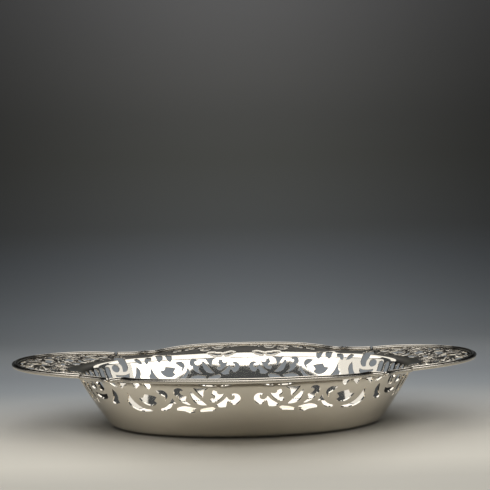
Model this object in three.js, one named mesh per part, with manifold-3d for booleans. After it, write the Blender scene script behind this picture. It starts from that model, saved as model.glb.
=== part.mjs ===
// Oval silver basket: one sheet raised into a shallow pierced bowl with a broad flat handle at each end,
// and a reeded wire border soldered along its edge in eight lengths.
// Millimetres, +Z up. The origin is the middle of the flat base. X runs from handle to handle.

import * as THREE from 'three';
import { mergeVertices } from 'three/addons/utils/BufferGeometryUtils.js';
import Module from 'manifold-3d';

const wasm = await Module();
wasm.setup();

// Over everything, wires included
const LENGTH = 323;
const WIDTH = 194;

// The sheet
const SHEET = 1.2;
const RIM_HEIGHT = 43.5; // top face of the sheet at the middle of a long side
const TIP_RISE = 2; // the handle tips lie this much above the sides
const RIM_DIP = 2.4; // the edge sinks this much where a side meets a handle
const DIP_AT = 84; // distance of that dip from the middle
const DIP_SPREAD = 28;

// The bowl inside the crease where the wall meets the border and the handles
const BOWL_LENGTH = 236;
const SIDE_BORDER = 24.2; // from the crease to the wire at the middle of a side
const CREASE_HEIGHT_SIDE = 37.5;
const CREASE_HEIGHT_END = 38;
const WALL_LEAN_SIDE = 23.4; // how far the wall leans out between base and crease
const WALL_LEAN_END = 24;
const FOOT_ROUND = 12; // radius between base and wall

// The border wire: three reeds on a flat back
const WIRE_WIDTH = 4.2;
const WIRE_HEIGHT = 2.2;
const SIDE_REED = 0.8; // radius
const TOP_REED = 0.85; // radius
const WIRE_LIP = 0.3; // the wire overhangs the sheet's edge by this much
const SEAT_GAP = 0.3; // the solder line under the wire
const END_GAP = 0.6; // between the ends of two wires

// The outline of the border, along the middle of the wire, in one quarter
const LOBE_HALF = 82.5; // the side lobe ends in a small point this far from the middle
const LOBE_FALL = 25.4; // and has drawn in by this much
const SHOULDER_STEP = 0.9; // the shoulder starts inside the lobe's point
const SHOULDER_RUN = 19;
const SHOULDER_FALL = 11.8;
const HANDLE_STEP = 2.6; // the handle's edge starts inside the shoulder's end

// The strip that the piercing is laid out on: a quarter of the crease long and one wall high
const STRIP_LENGTH = 150;
const STRIP_HEIGHT = 44.2;

// Facets round a quarter of the sheet, halved between two angles, where the outline comes to its point
const QUARTER_STEPS = 20;
const CLOSE_FROM = 45;
const CLOSE_TO = 58;
const LOBE_STEPS = 18;
const SHOULDER_STEPS = 6;
const HANDLE_STEPS = 15;
const CUT_REACH = 3; // a saw cut passes this far through both faces

const silver = { color: 0xd9d5c8, roughness: 0.16, metalness: 1 };

const wireHalf = WIRE_WIDTH / 2;
const tipX = LENGTH / 2 - wireHalf;
const sideY = WIDTH / 2 - wireHalf;
const creaseX = BOWL_LENGTH / 2;
const creaseY = sideY - SIDE_BORDER;
const cornerX = creaseX - WALL_LEAN_END;
const cornerY = creaseY - WALL_LEAN_SIDE;

// Border outline

const lobeEnd = new THREE.Vector2(LOBE_HALF, sideY - LOBE_FALL);
const shoulderStart = new THREE.Vector2(LOBE_HALF + END_GAP, lobeEnd.y - SHOULDER_STEP);
const shoulderEnd = new THREE.Vector2(shoulderStart.x + SHOULDER_RUN, shoulderStart.y - SHOULDER_FALL);
const handleStart = new THREE.Vector2(shoulderEnd.x + END_GAP, shoulderEnd.y - HANDLE_STEP);

// The side lobe bows out, draws in and turns outward again into its point
function lobePoints(steps) {
  const shape = [[0, 0], [0.21, 0.04], [0.41, 0.155], [0.61, 0.355], [0.79, 0.73], [0.91, 1.13], [1, 1]];
  const points = shape.map(([run, fall]) => new THREE.Vector2(run * LOBE_HALF, sideY - fall * LOBE_FALL));
  const mirrored = points.slice(1).reverse().map((p) => new THREE.Vector2(-p.x, p.y));
  const spline = new THREE.SplineCurve([...mirrored, ...points]);
  return spline.getPoints(2 * steps).slice(steps);
}

// The shoulder falls away steeply from the point and then runs out flatter
function shoulderPoints(steps) {
  const shape = [[0, 0], [0.18, 0.37], [0.47, 0.68], [1, 1]];
  const points = shape.map(([run, fall]) => (
    new THREE.Vector2(shoulderStart.x + run * SHOULDER_RUN, shoulderStart.y - fall * SHOULDER_FALL)
  ));
  return new THREE.SplineCurve(points).getPoints(steps);
}

// The handle's end is half of an ellipse
function handlePoints(steps) {
  return Array.from({ length: steps + 1 }, (_, k) => {
    const angle = (k / steps) * Math.PI / 2;
    const x = handleStart.x + (tipX - handleStart.x) * Math.sin(angle);
    return new THREE.Vector2(x, handleStart.y * Math.cos(angle));
  });
}

// One quarter of the outline, carried a little past both axes
const quarterOutline = (() => {
  const lobe = lobePoints(LOBE_STEPS);
  const handle = handlePoints(HANDLE_STEPS);
  const pastSide = new THREE.Vector2(-lobe[1].x, lobe[1].y);
  const pastTip = new THREE.Vector2(handle[HANDLE_STEPS - 1].x, -handle[HANDLE_STEPS - 1].y);
  return [pastSide, ...lobe, ...shoulderPoints(SHOULDER_STEPS), ...handle, pastTip];
})();

// Height of the sheet's top face under the wire, at a distance x from the middle
function rimHeight(x) {
  const dip = RIM_DIP * Math.exp(-(((Math.abs(x) - DIP_AT) / DIP_SPREAD) ** 2));
  const along = Math.max(0, (Math.abs(x) - shoulderEnd.x) / (tipX - shoulderEnd.x));
  return RIM_HEIGHT - dip + TIP_RISE * along ** 2;
}

// The sheet's outer face. The angle goes round the bowl, 0 at +X; the level goes from the middle of the
// base (0) over the base's edge (1), the top of the rounding (2) and the crease (3) to the rim (4).

// Distance from the crease to the outline, square to the crease
function rimReach(crease, outward) {
  let reach = Infinity;
  for (let k = 0; k + 1 < quarterOutline.length; k++) {
    const a = quarterOutline[k].clone().sub(crease);
    const b = quarterOutline[k + 1].clone().sub(crease);
    const sideA = outward.cross(a);
    const sideB = outward.cross(b);
    if (sideA * sideB > 0 || sideA === sideB) continue;
    const hit = a.lerp(b, sideA / (sideA - sideB)).dot(outward);
    if (hit > 0) reach = Math.min(reach, hit);
  }
  return reach;
}

function wallShape(angle) {
  const cos = Math.cos(angle);
  const sin = Math.sin(angle);
  const crease = new THREE.Vector2(creaseX * cos, creaseY * sin);
  const corner = new THREE.Vector2(cornerX * cos, cornerY * sin);
  const creaseZ = CREASE_HEIGHT_SIDE + (CREASE_HEIGHT_END - CREASE_HEIGHT_SIDE) * cos ** 2;
  const lean = crease.clone().sub(corner);
  const slope = Math.atan2(creaseZ, lean.length());
  const height = Math.hypot(creaseZ, lean.length());
  const setback = FOOT_ROUND * Math.tan(slope / 2);
  return { crease, corner, creaseZ, slope, height, setback, out: lean.normalize() };
}

function quarterPoint(angle, level) {
  const { crease, corner, creaseZ, slope, height, setback, out } = wallShape(angle);
  const foot = corner.clone().addScaledVector(out, -setback);
  if (level <= 1) return new THREE.Vector3(foot.x * level, foot.y * level, 0);
  if (level <= 2) {
    const turn = (level - 1) * slope;
    const p = foot.addScaledVector(out, FOOT_ROUND * Math.sin(turn));
    return new THREE.Vector3(p.x, p.y, FOOT_ROUND * (1 - Math.cos(turn)));
  }
  if (level <= 3) {
    const up = (setback + (height - setback) * (level - 2)) / height;
    const p = corner.lerp(crease, up);
    return new THREE.Vector3(p.x, p.y, creaseZ * up);
  }
  const outward = new THREE.Vector2(crease.x / creaseX ** 2, crease.y / creaseY ** 2).normalize();
  const reach = rimReach(crease, outward);
  const across = (level - 3) * (reach + wireHalf - WIRE_LIP);
  const rise = rimHeight(crease.x + outward.x * reach) - SHEET - creaseZ;
  const p = crease.addScaledVector(outward, across);
  return new THREE.Vector3(p.x, p.y, creaseZ + rise * Math.sin(Math.min(across / reach, 1) * Math.PI / 2));
}

function facePoint(angle, level) {
  const p = quarterPoint(Math.asin(Math.abs(Math.sin(angle))), level);
  if (Math.cos(angle) < 0) p.x = -p.x;
  if (Math.sin(angle) < 0) p.y = -p.y;
  return p;
}

// Direction from the outer face through the sheet
function faceNormal(angle, level) {
  const step = 1e-3;
  const low = Math.max(level - step, step);
  const high = Math.min(level + step, 4);
  const round = facePoint(angle + step, level).sub(facePoint(angle - step, level));
  const along = facePoint(angle, high).sub(facePoint(angle, low));
  return along.cross(round).normalize();
}

// Closed meshes

function closedGeometry(points, faces) {
  const geometry = new THREE.BufferGeometry();
  geometry.setAttribute('position', new THREE.Float32BufferAttribute(points.flatMap((p) => [p.x, p.y, p.z]), 3));
  let volume = 0;
  for (const [a, b, c] of faces) volume += points[a].dot(points[b].clone().cross(points[c]));
  geometry.setIndex(faces.flatMap(([a, b, c]) => (volume > 0 ? [a, b, c] : [a, c, b])));
  return geometry;
}

function toSolid(geometry) {
  const merged = mergeVertices(geometry, 1e-4);
  const vertProperties = new Float32Array(merged.attributes.position.array);
  const triVerts = new Uint32Array(merged.index.array);
  return new wasm.Manifold(new wasm.Mesh({ numProp: 3, vertProperties, triVerts }));
}

function fromSolid(solid) {
  const { vertProperties, triVerts } = solid.getMesh();
  const geometry = new THREE.BufferGeometry();
  geometry.setAttribute('position', new THREE.BufferAttribute(vertProperties, 3));
  geometry.setIndex(new THREE.BufferAttribute(triVerts, 1));
  return geometry;
}

// Facet edges all round the sheet
const roundAngles = (() => {
  const even = Array.from({ length: QUARTER_STEPS + 1 }, (_, k) => (k / QUARTER_STEPS) * 90);
  const halves = even.slice(1).map((degrees, k) => (degrees + even[k]) / 2);
  const close = halves.filter((degrees) => degrees > CLOSE_FROM && degrees < CLOSE_TO);
  const quarter = [...even, ...close].sort((a, b) => a - b);
  const mirrored = quarter.map((degrees) => 90 - degrees).reverse();
  return [quarter, mirrored, quarter, mirrored].flatMap((list, k) => (
    list.slice(0, -1).map((degrees) => THREE.MathUtils.degToRad(k * 90 + degrees))
  ));
})();

function sheetSolid() {
  const levels = [0.55, 1, 1.34, 1.67, 2, 3, 3.3, 3.65, 3.88, 4];
  const around = roundAngles.length;
  const points = [new THREE.Vector3(0, 0, 0), new THREE.Vector3(0, 0, SHEET)];
  for (const level of levels) {
    for (const angle of roundAngles) {
      const p = facePoint(angle, level);
      const through = level <= 1 ? new THREE.Vector3(0, 0, 1) : faceNormal(angle, level);
      points.push(p, p.clone().addScaledVector(through, through.z < 0 ? -SHEET : SHEET));
    }
  }
  const at = (row, k, side) => 2 + 2 * (row * around + (k % around)) + side;
  const faces = [];
  const quad = (a, b, c, d) => faces.push([a, b, c], [a, c, d]);
  const last = levels.length - 1;
  for (let k = 0; k < around; k++) {
    faces.push([0, at(0, k + 1, 0), at(0, k, 0)], [1, at(0, k, 1), at(0, k + 1, 1)]);
    for (let row = 0; row < last; row++) {
      quad(at(row, k, 0), at(row, k + 1, 0), at(row + 1, k + 1, 0), at(row + 1, k, 0));
      quad(at(row, k, 1), at(row + 1, k, 1), at(row + 1, k + 1, 1), at(row, k + 1, 1));
    }
    quad(at(last, k, 0), at(last, k + 1, 0), at(last, k + 1, 1), at(last, k, 1));
  }
  return toSolid(closedGeometry(points, faces));
}

// Piercing. Wall openings are outlines on the strip: first number along the crease from the middle of a
// side, second down the wall from the crease. Handle openings are degrees round the bowl from the tip,
// and the part of the way from crease to rim.

const wallOpenings = {
  scroll: [[9.9, 6.5], [6.8, 5.9], [4.3, 8.6], [4.9, 12.2], [7.9, 14.5], [10.6, 12.9], [13.6, 16.2], [20.2, 15],
    [12.7, 8.2], [10.2, 10.7], [7.7, 8.8]],
  fish: [[13.8, 5.9], [18.3, 5.4], [20.1, 3.4], [22.1, 6.2], [20.1, 8.9], [23.3, 10.3], [21.3, 12.6], [16.7, 10]],
  rimHeart: [[23.4, 1.7], [27.1, 6.1], [27.8, 8.4], [32.7, 1.6]],
  crescent: [[34.7, 4.3], [35.6, 7.5], [33.1, 13], [29.3, 14.8], [26, 14.8], [30.1, 10]],
  curl: [[39.4, 2.9], [42.5, 1.9], [45.8, 5.8], [43.8, 10], [40.6, 13.9], [36.5, 14.8], [39.3, 11.7], [38.3, 8],
    [41.8, 5.9]],
  slit: [[20.7, 17.6], [23.3, 16.4], [32.4, 19.7], [26.4, 19.9]],
  blade: [[33.6, 17.4], [41.4, 16], [48, 18.7], [41.4, 20], [38.9, 23], [34.5, 20.1]],
  sickle: [[46.1, 14.7], [48.6, 9], [52.4, 15], [59.4, 18.9], [58.6, 20.1], [52, 19]],
  ring: [[57.6, 4.4], [53.2, 3.9], [50.6, 7.2], [53.3, 11.8], [53, 9.1]],
  wedge: [[58.1, 1], [62.3, 4.6], [64.4, 0.9]],
  notch: [[67.3, 0.8], [70.6, 4.5], [72.6, 3.8], [73.2, 0.9]],
  heart: [[58.6, 9.2], [66.6, 7.5], [72, 11], [68, 16], [61.7, 15.6], [61.1, 12.4]],
  moon: [[79.3, 6.6], [82.6, 13.9], [80.5, 19.4], [73.7, 21.8], [65.9, 21.1], [73.1, 18.2], [77.3, 13.2]],
  bud: [[77.3, 1], [81.2, 0.9], [82.6, 2.4], [81.8, 4.4], [79.2, 2.5]],
  leaf: [[90.7, 1.2], [87.2, 1], [85.3, 3.6], [88.6, 3.2]],
  teardrop: [[90.8, 5.2], [89.2, 9], [90.8, 14.6], [93.1, 17.3], [97.9, 16.8], [93.3, 11]],
  horn: [[98.4, 1], [98.3, 5.1], [101.5, 8.3], [103.6, 7.8], [102.9, 4], [103.5, 1.1]],
  eye: [[105.8, 4], [107.8, 1.9], [110.8, 2.1], [112.4, 4.4], [111.2, 7], [108.2, 7.7]],
  gap: [[98.9, 10.1], [104.6, 10.9], [111.4, 9.8], [111.7, 12.5], [108.1, 14.4], [102.6, 14.6]],
};

// A fan of leaf openings crosses the end walls, counted from the end
const FAN_COUNT = 6;
const FAN_PITCH = 6.1;
const fanLeaf = [[-1.9, 3.6], [1.4, 2.7], [2.5, 9], [1.7, 16.5], [-0.6, 20.2], [-1.5, 11]];

const handleOpenings = {
  tipScroll: [[1.2, 0.52], [5, 0.5], [7.3, 0.64], [5, 0.8], [2.2, 0.83], [4.4, 0.66], [1.2, 0.6]],
  tipBud: [[1.2, 0.3], [5, 0.28], [7, 0.36], [3, 0.43]],
  edgeLeaf: [[9.5, 0.76], [11, 0.86], [16, 0.86], [19.5, 0.7], [13, 0.74]],
  innerScroll: [[9.5, 0.42], [11.5, 0.36], [17, 0.48], [14, 0.6], [9.5, 0.59], [13, 0.5]],
  rootLeaf: [[22, 0.6], [27.5, 0.64], [29.5, 0.8], [23, 0.82], [25, 0.72]],
  rootScroll: [[19.5, 0.36], [23, 0.28], [27.5, 0.38], [24, 0.5]],
};

// Angle round the bowl at each distance along the crease from the middle of a side, by short chords
const creaseTable = (() => {
  const steps = 400;
  const table = [{ along: 0, angle: Math.PI / 2 }];
  for (let k = 1; k <= steps; k++) {
    const angle = (1 - k / steps) * Math.PI / 2;
    const last = table[k - 1];
    const chord = wallShape(angle).crease.distanceTo(wallShape(last.angle).crease);
    table.push({ along: last.along + chord, angle });
  }
  return table;
})();
const quarterLength = creaseTable[creaseTable.length - 1].along;

function creaseAngle(along) {
  const k = Math.max(1, creaseTable.findIndex((row) => row.along >= Math.min(along, quarterLength)));
  const before = creaseTable[k - 1];
  const after = creaseTable[k];
  const part = (along - before.along) / (after.along - before.along);
  return before.angle + (after.angle - before.angle) * part;
}

function stripPlace([along, down]) {
  const angle = creaseAngle((along * quarterLength) / STRIP_LENGTH);
  const { height, setback } = wallShape(angle);
  const up = height * (1 - down / STRIP_HEIGHT);
  return [angle, 2 + (up - setback) / (height - setback)];
}

function handlePlace([degrees, part]) {
  const angle = THREE.MathUtils.degToRad(degrees);
  const { crease } = wallShape(angle);
  const outward = new THREE.Vector2(crease.x / creaseX ** 2, crease.y / creaseY ** 2).normalize();
  const reach = rimReach(crease, outward);
  return [angle, 3 + part * reach / (reach + wireHalf - WIRE_LIP)];
}

// A saw cut square through the sheet, in each of the four quarters
function sawCuts(outline) {
  const flat = outline.map(([x, y]) => new THREE.Vector2(x, y));
  const caps = THREE.ShapeUtils.triangulateShape(flat, []);
  const count = outline.length;
  return [[1, 1], [-1, 1], [-1, -1], [1, -1]].map(([signX, signY]) => {
    const points = [];
    for (const [angle, level] of outline) {
      const p = facePoint(angle, level);
      const through = faceNormal(angle, level);
      if (through.z < 0) through.negate();
      for (const depth of [-CUT_REACH, SHEET + CUT_REACH]) {
        const q = p.clone().addScaledVector(through, depth);
        points.push(new THREE.Vector3(q.x * signX, q.y * signY, q.z));
      }
    }
    const faces = [];
    for (const [a, b, c] of caps) faces.push([2 * a, 2 * c, 2 * b], [2 * a + 1, 2 * b + 1, 2 * c + 1]);
    const turning = THREE.ShapeUtils.isClockWise(flat) ? -1 : 1;
    for (let k = 0; k < count; k++) {
      const n = (k + 1) % count;
      if (turning > 0) faces.push([2 * k, 2 * n, 2 * n + 1], [2 * k, 2 * n + 1, 2 * k + 1]);
      else faces.push([2 * k, 2 * n + 1, 2 * n], [2 * k, 2 * k + 1, 2 * n + 1]);
    }
    return toSolid(closedGeometry(points, faces));
  });
}

function openingOutlines() {
  const wall = Object.values(wallOpenings).map((outline) => outline.map(stripPlace));
  const fan = Array.from({ length: FAN_COUNT }, (_, k) => {
    const middle = STRIP_LENGTH - (k + 0.5) * FAN_PITCH;
    return fanLeaf.map(([along, down]) => stripPlace([middle + along, down]));
  });
  const handle = Object.values(handleOpenings).map((outline) => outline.map(handlePlace));
  return [...wall, ...fan, ...handle];
}

function piercedBody() {
  let body = sheetSolid();
  for (const outline of openingOutlines()) {
    for (const cut of sawCuts(outline)) body = body.subtract(cut);
  }
  return fromSolid(body);
}

// Border wires

// Section of the wire, outward and up: a reed on each side and a taller one on top
function wireSection() {
  const reeds = [
    { x: wireHalf - SIDE_REED, y: SIDE_REED * 0.9, radius: SIDE_REED, from: 0, to: 110 },
    { x: 0, y: WIRE_HEIGHT - TOP_REED, radius: TOP_REED, from: 15, to: 165 },
    { x: SIDE_REED - wireHalf, y: SIDE_REED * 0.9, radius: SIDE_REED, from: 70, to: 180 },
  ];
  const points = [new THREE.Vector2(wireHalf, 0)];
  for (const { x, y, radius, from, to } of reeds) {
    for (let k = 0; k <= 2; k++) {
      const angle = THREE.MathUtils.degToRad(from + (to - from) * k / 2);
      points.push(new THREE.Vector2(x + radius * Math.cos(angle), y + radius * Math.sin(angle)));
    }
  }
  points.push(new THREE.Vector2(-wireHalf, 0));
  return points;
}

// Sweeps the section along a path in plan, with the bowl on the left hand. Both ends are cut square to X.
function wireGeometry(path) {
  const section = wireSection();
  const caps = THREE.ShapeUtils.triangulateShape(section, []);
  const size = section.length;
  const points = [];
  path.forEach((p, k) => {
    const before = path[Math.max(k - 1, 0)];
    const after = path[Math.min(k + 1, path.length - 1)];
    const ahead = after.clone().sub(before).normalize();
    const atEnd = k === 0 || k === path.length - 1;
    const outward = atEnd ? new THREE.Vector2(0, -1 / ahead.x) : new THREE.Vector2(ahead.y, -ahead.x);
    for (const { x, y } of section) {
      points.push(new THREE.Vector3(p.x + outward.x * x, p.y + outward.y * x, rimHeight(p.x) + SEAT_GAP + y));
    }
  });
  const faces = [];
  for (let k = 0; k + 1 < path.length; k++) {
    for (let j = 0; j < size; j++) {
      const a = k * size + j;
      const b = k * size + (j + 1) % size;
      faces.push([a, b, b + size], [a, b + size, a + size]);
    }
  }
  const last = (path.length - 1) * size;
  for (const [a, b, c] of caps) faces.push([a, c, b], [last + a, last + b, last + c]);
  return closedGeometry(points, faces);
}

const mirrorX = (path) => path.map((p) => new THREE.Vector2(-p.x, p.y)).reverse();
const mirrorY = (path) => path.map((p) => new THREE.Vector2(p.x, -p.y)).reverse();

// Paths run anticlockwise seen from above, so the bowl is on the left hand
function wirePaths() {
  const lobe = lobePoints(LOBE_STEPS).reverse();
  const sideBack = [...lobe, ...mirrorX(lobe).slice(1)];
  const shoulder = shoulderPoints(SHOULDER_STEPS).reverse();
  const handle = handlePoints(HANDLE_STEPS).reverse();
  const endRight = [...mirrorY(handle), ...handle.slice(1)];
  return {
    side_wire_back: sideBack,
    side_wire_front: mirrorY(sideBack),
    end_wire_right: endRight,
    end_wire_left: mirrorX(endRight),
    shoulder_wire_back_right: shoulder,
    shoulder_wire_back_left: mirrorX(shoulder),
    shoulder_wire_front_right: mirrorY(shoulder),
    shoulder_wire_front_left: mirrorX(mirrorY(shoulder)),
  };
}

const basket = new THREE.Group();
basket.name = 'silver_basket';

function addPart(name, geometry) {
  const mesh = new THREE.Mesh(geometry, new THREE.MeshStandardMaterial(silver));
  mesh.name = name;
  basket.add(mesh);
}

addPart('pierced_body', piercedBody());
for (const [name, path] of Object.entries(wirePaths())) addPart(name, wireGeometry(path));

export default basket;
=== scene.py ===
import math

import bpy
import numpy as np
from mathutils import Matrix
from mathutils.geometry import delaunay_2d_cdt
from mathutils.kdtree import KDTree


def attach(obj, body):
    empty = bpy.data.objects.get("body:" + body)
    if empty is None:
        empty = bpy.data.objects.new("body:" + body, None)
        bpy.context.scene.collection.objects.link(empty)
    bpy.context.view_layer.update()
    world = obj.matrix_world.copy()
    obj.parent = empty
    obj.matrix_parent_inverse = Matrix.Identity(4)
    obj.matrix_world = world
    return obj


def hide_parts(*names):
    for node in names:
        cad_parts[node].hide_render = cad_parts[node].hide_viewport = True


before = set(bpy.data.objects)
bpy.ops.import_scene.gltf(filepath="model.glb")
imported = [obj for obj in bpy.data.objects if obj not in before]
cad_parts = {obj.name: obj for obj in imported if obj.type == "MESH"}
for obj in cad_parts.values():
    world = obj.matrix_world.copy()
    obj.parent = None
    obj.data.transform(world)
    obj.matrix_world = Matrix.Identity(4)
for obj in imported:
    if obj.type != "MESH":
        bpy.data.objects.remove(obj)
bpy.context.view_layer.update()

# The basket's sizes are in millimetres, as in the part, and turned into metres when a mesh is made
MM = 0.001

# The sheet and the bowl
SHEET = 1.2
RIM_SHEET = 0.75  # the sheet thins to this under the wire
RIM_HEIGHT = 43.8  # of the sheet's upper face in the middle of a side
TIP_RISE = 2  # from the end of the shoulder to the tip of the handle
RIM_DIP = 2.4  # where the side lobe meets the shoulder
DIP_AT = 84
DIP_SPREAD = 28
CREASE_X = 118
CREASE_Y = 70.7
CREASE_HEIGHT_SIDE = 37.5
CREASE_HEIGHT_END = 38
CREASE_ROUND = 2.4  # how far the bend at the crease reaches to each side
WALL_LEAN_SIDE = 23.4
WALL_LEAN_END = 24
BELLY = 0.7  # the wall bows out by this much half way up
FOOT_ROUND = 12
BASE_RINGS = (0.93, 0.86, 0.79, 0.7, 0.6, 0.5, 0.4, 0.3, 0.2, 0.1)  # shares of the base's outline

# The border wire
WIRE_HALF = 2.1
WIRE_HEIGHT = 1.65
WIRE_GAP = 0.3  # the wire's seat lies this far above the sheet
WIRE_LIP = 0.3  # the wire reaches this far past the sheet
WIRE_END_ROUND = 0.9
WIRE_STEP = 0.8  # between two sections of the swept mesh
SIDE_REED = 0.42
TOP_REED = 0.5
SOLDER = 0.36  # the wire's back reaches this much under its seat, into the solder line

# The middle line of the border wire in one quarter
TIP_X = 159.4
SIDE_Y = 94.9
LOBE_HALF = 82.5
LOBE_FALL = 25.4
LOBE_SHAPE = [(0, 0), (0.21, 0.04), (0.41, 0.155), (0.61, 0.355), (0.79, 0.73), (0.91, 1.13), (1, 1)]
SHOULDER = [(83.1, 68.6), (86.5, 64.2), (92, 60.6), (102.1, 56.8)]
HANDLE_START = (102.7, 54.2)

# The flat strip, which is one quarter of the sheet unrolled
STRIP_LENGTH = 150  # along the crease, from the middle of a side to the tip of the handle
WALL_END = 37.6  # down from the crease to the round foot. The border lies at negative distances
FOOT_END = 49.7  # down from the crease to the flat base
PIERCED_END = 24  # no opening reaches further down than this
CHAMFER = 0.15  # the softened edge of a saw cut
UNDER_BORDER_SHADE = 0.55  # how dark the painted shade on the border's underside gets, as a share of the dark tone

# Rounded ribs along the handles
RELIEF_RISE = 0.4
RELIEF_PITCH = 4.6
RELIEF_SWAY = 1.4  # how much they wave, in radians of their pattern
RELIEF_HALF = 34  # how far they reach along the crease to each side of the tip

# Chased lines: each kind's half width and depth
WIRE_LINE = (0.35, 0.16)
WIRE_LINE_INSET = 3.4  # from the middle of the wire
CONTOUR = (0.3, 0.42)
CONTOUR_GAP = 0.72  # from the saw cut
RIB = (0.6, 0.46)
SHOW_THROUGH = 0.35  # share of a line's depth that shows on the other face


# Curves

def as_array(points):
    return np.asarray(points, float)


def spline(points, steps):
    """A smooth curve through the points."""
    held = np.vstack([points[:1], points, points[-1:]])
    t = np.linspace(0, 1, steps, endpoint=False)[:, None]
    spans = []
    for a, b, c, d in zip(held, held[1:], held[2:], held[3:]):
        curve = (c - a) * t + (2 * a - 5 * b + 4 * c - d) * t**2 + (3 * b - a - 3 * c + d) * t**3
        spans.append(b + 0.5 * curve)
    return np.vstack(spans + [points[-1:]])


def distances(line):
    """Distance of each point from the start, along the line."""
    return np.concatenate([[0], np.cumsum(np.linalg.norm(np.diff(line, axis=0), axis=1))])


def even_points(line, count):
    """Evenly spaced points on the line, and their distances from its start."""
    place = distances(line)
    even = np.linspace(0, place[-1], count)
    return np.stack([np.interp(even, place, line[:, k]) for k in range(2)], 1), even


def unit(vectors):
    return vectors / np.maximum(np.linalg.norm(vectors, axis=-1, keepdims=True), 1e-12)


def steps_beside(points, closed):
    """The steps that leave and that reach each point. An open line repeats its first and last step."""
    leaving = np.diff(points, axis=0, append=points[:1])
    if not closed:
        leaving[-1] = leaving[-2]
    arriving = np.roll(leaving, 1, axis=0)
    if not closed:
        arriving[0] = leaving[0]
    return leaving, arriving


def tangents(points, closed, corner):
    """Direction before and after each point, which differ where the line turns by over corner degrees."""
    leaving, arriving = steps_beside(points, closed)
    after, before = unit(leaving), unit(arriving)
    length_after = np.linalg.norm(leaving, axis=1, keepdims=True)
    length_before = np.linalg.norm(arriving, axis=1, keepdims=True)
    mean = unit(before * length_after + after * length_before)
    turn = np.degrees(np.arccos(np.clip((before * after).sum(1), -1, 1)))
    sharp = (turn > corner)[:, None]
    return np.where(sharp, before, mean), np.where(sharp, after, mean)


def smooth_line(points, spacing, closed=False, corner=58):
    """A smooth line through the points that keeps its sharp corners, with steps of about the spacing."""
    points = as_array(points)
    arriving, leaving = tangents(points, closed, corner)
    count = len(points)
    out = []
    for k in range(count if closed else count - 1):
        n = (k + 1) % count
        start, end = points[k], points[n]
        length = np.linalg.norm(end - start)
        steps = max(2, math.ceil(length / spacing))
        t = np.linspace(0, 1, steps, endpoint=False)[:, None]
        out.append(
            start * (2 * t**3 - 3 * t**2 + 1)
            + leaving[k] * length * (t**3 - 2 * t**2 + t)
            + end * (3 * t**2 - 2 * t**3)
            + arriving[n] * length * (t**3 - t**2)
        )
    if not closed:
        out.append(points[-1:])
    return np.vstack(out)


def offset_line(points, distance, closed=False):
    """Moves the line to its right by the distance, with the corners mitred."""
    leaving, arriving = steps_beside(points, closed)
    mean = unit(unit(arriving) + unit(leaving))
    square = np.clip((unit(arriving) * mean).sum(1), 0.55, 1)
    right = np.stack([mean[:, 1], -mean[:, 0]], 1)
    return points + right * (distance / square)[:, None]


# The border's outline

def outline_pieces():
    """The middle line of each length of wire in one quarter, from the side to the tip."""
    shape = as_array([(run * LOBE_HALF, SIDE_Y - fall * LOBE_FALL) for run, fall in LOBE_SHAPE])
    mirrored = shape[:0:-1] * [-1, 1]
    whole = spline(np.vstack([mirrored, shape]), 24)
    lobe = whole[len(whole) // 2:]
    turn = np.linspace(0, math.pi / 2, 120)
    handle = np.stack([
        HANDLE_START[0] + (TIP_X - HANDLE_START[0]) * np.sin(turn),
        HANDLE_START[1] * np.cos(turn),
    ], 1)
    shoulder = spline(as_array(SHOULDER), 12)
    return lobe, shoulder, handle


def rim_height(x):
    x = np.abs(x)
    dip = RIM_DIP * np.exp(-(((x - DIP_AT) / DIP_SPREAD) ** 2))
    along = np.maximum(0, (x - SHOULDER[-1][0]) / (TIP_X - SHOULDER[-1][0]))
    return RIM_HEIGHT - dip + TIP_RISE * along**2


# Angle round the bowl at each distance along the crease from the middle of a side
table_angle = np.linspace(math.pi / 2, 0, 1201)
table_crease = np.stack([CREASE_X * np.cos(table_angle), CREASE_Y * np.sin(table_angle)], 1)
table_out = unit(np.stack([np.cos(table_angle) / CREASE_X, np.sin(table_angle) / CREASE_Y], 1))
table_along = distances(table_crease)
table_along *= STRIP_LENGTH / table_along[-1]


def to_strip(points):
    """Plan points outside the crease as distance along the crease and down, which is negative there."""
    out = []
    for p in points:
        away = p - table_crease
        side = table_out[:, 0] * away[:, 1] - table_out[:, 1] * away[:, 0]
        k = int(np.argmax(side[:-1] * side[1:] <= 0))
        part = side[k] / (side[k] - side[k + 1])
        along = table_along[k] + part * (table_along[k + 1] - table_along[k])
        foot = table_crease[k] + part * (table_crease[k + 1] - table_crease[k])
        out.append((along, -np.linalg.norm(p - foot)))
    return as_array(out)


def sheet_edge():
    """The sheet's own edge in one quarter on the flat drawing, just inside the wire's outer side."""
    reach = WIRE_HALF - WIRE_LIP
    lobe, shoulder, handle = (offset_line(piece, -reach) for piece in outline_pieces())
    lobe[0, 0] = 0
    handle[-1, 1] = 0
    flat = [to_strip(piece[1:-1]) for piece in (lobe, shoulder, handle)]
    first = (0, -(lobe[0, 1] - CREASE_Y))
    last = (STRIP_LENGTH, -(handle[-1, 0] - CREASE_X))
    return np.vstack([first, *flat, last])


def reach_table():
    """Distance from the crease to the middle of the wire, with the steps between two wires smoothed."""
    samples, window, spread = 327, 24, 8.0
    flat = to_strip(np.vstack([piece[1:-1] for piece in outline_pieces()]))
    flat = flat[np.argsort(flat[:, 0])]
    even = np.linspace(0, STRIP_LENGTH, samples)
    reach = np.interp(even, flat[:, 0], -flat[:, 1])
    padded = np.concatenate([reach[window:0:-1], reach, reach[-2:-window - 2:-1]])
    kernel = np.exp(-((np.arange(-window, window + 1) / spread) ** 2))
    return even, np.convolve(padded, kernel / kernel.sum(), mode="valid")


reach_along, reach_smooth = reach_table()


def reach_at(along):
    return np.interp(along, reach_along, reach_smooth)


# The sheet's outer face

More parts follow.
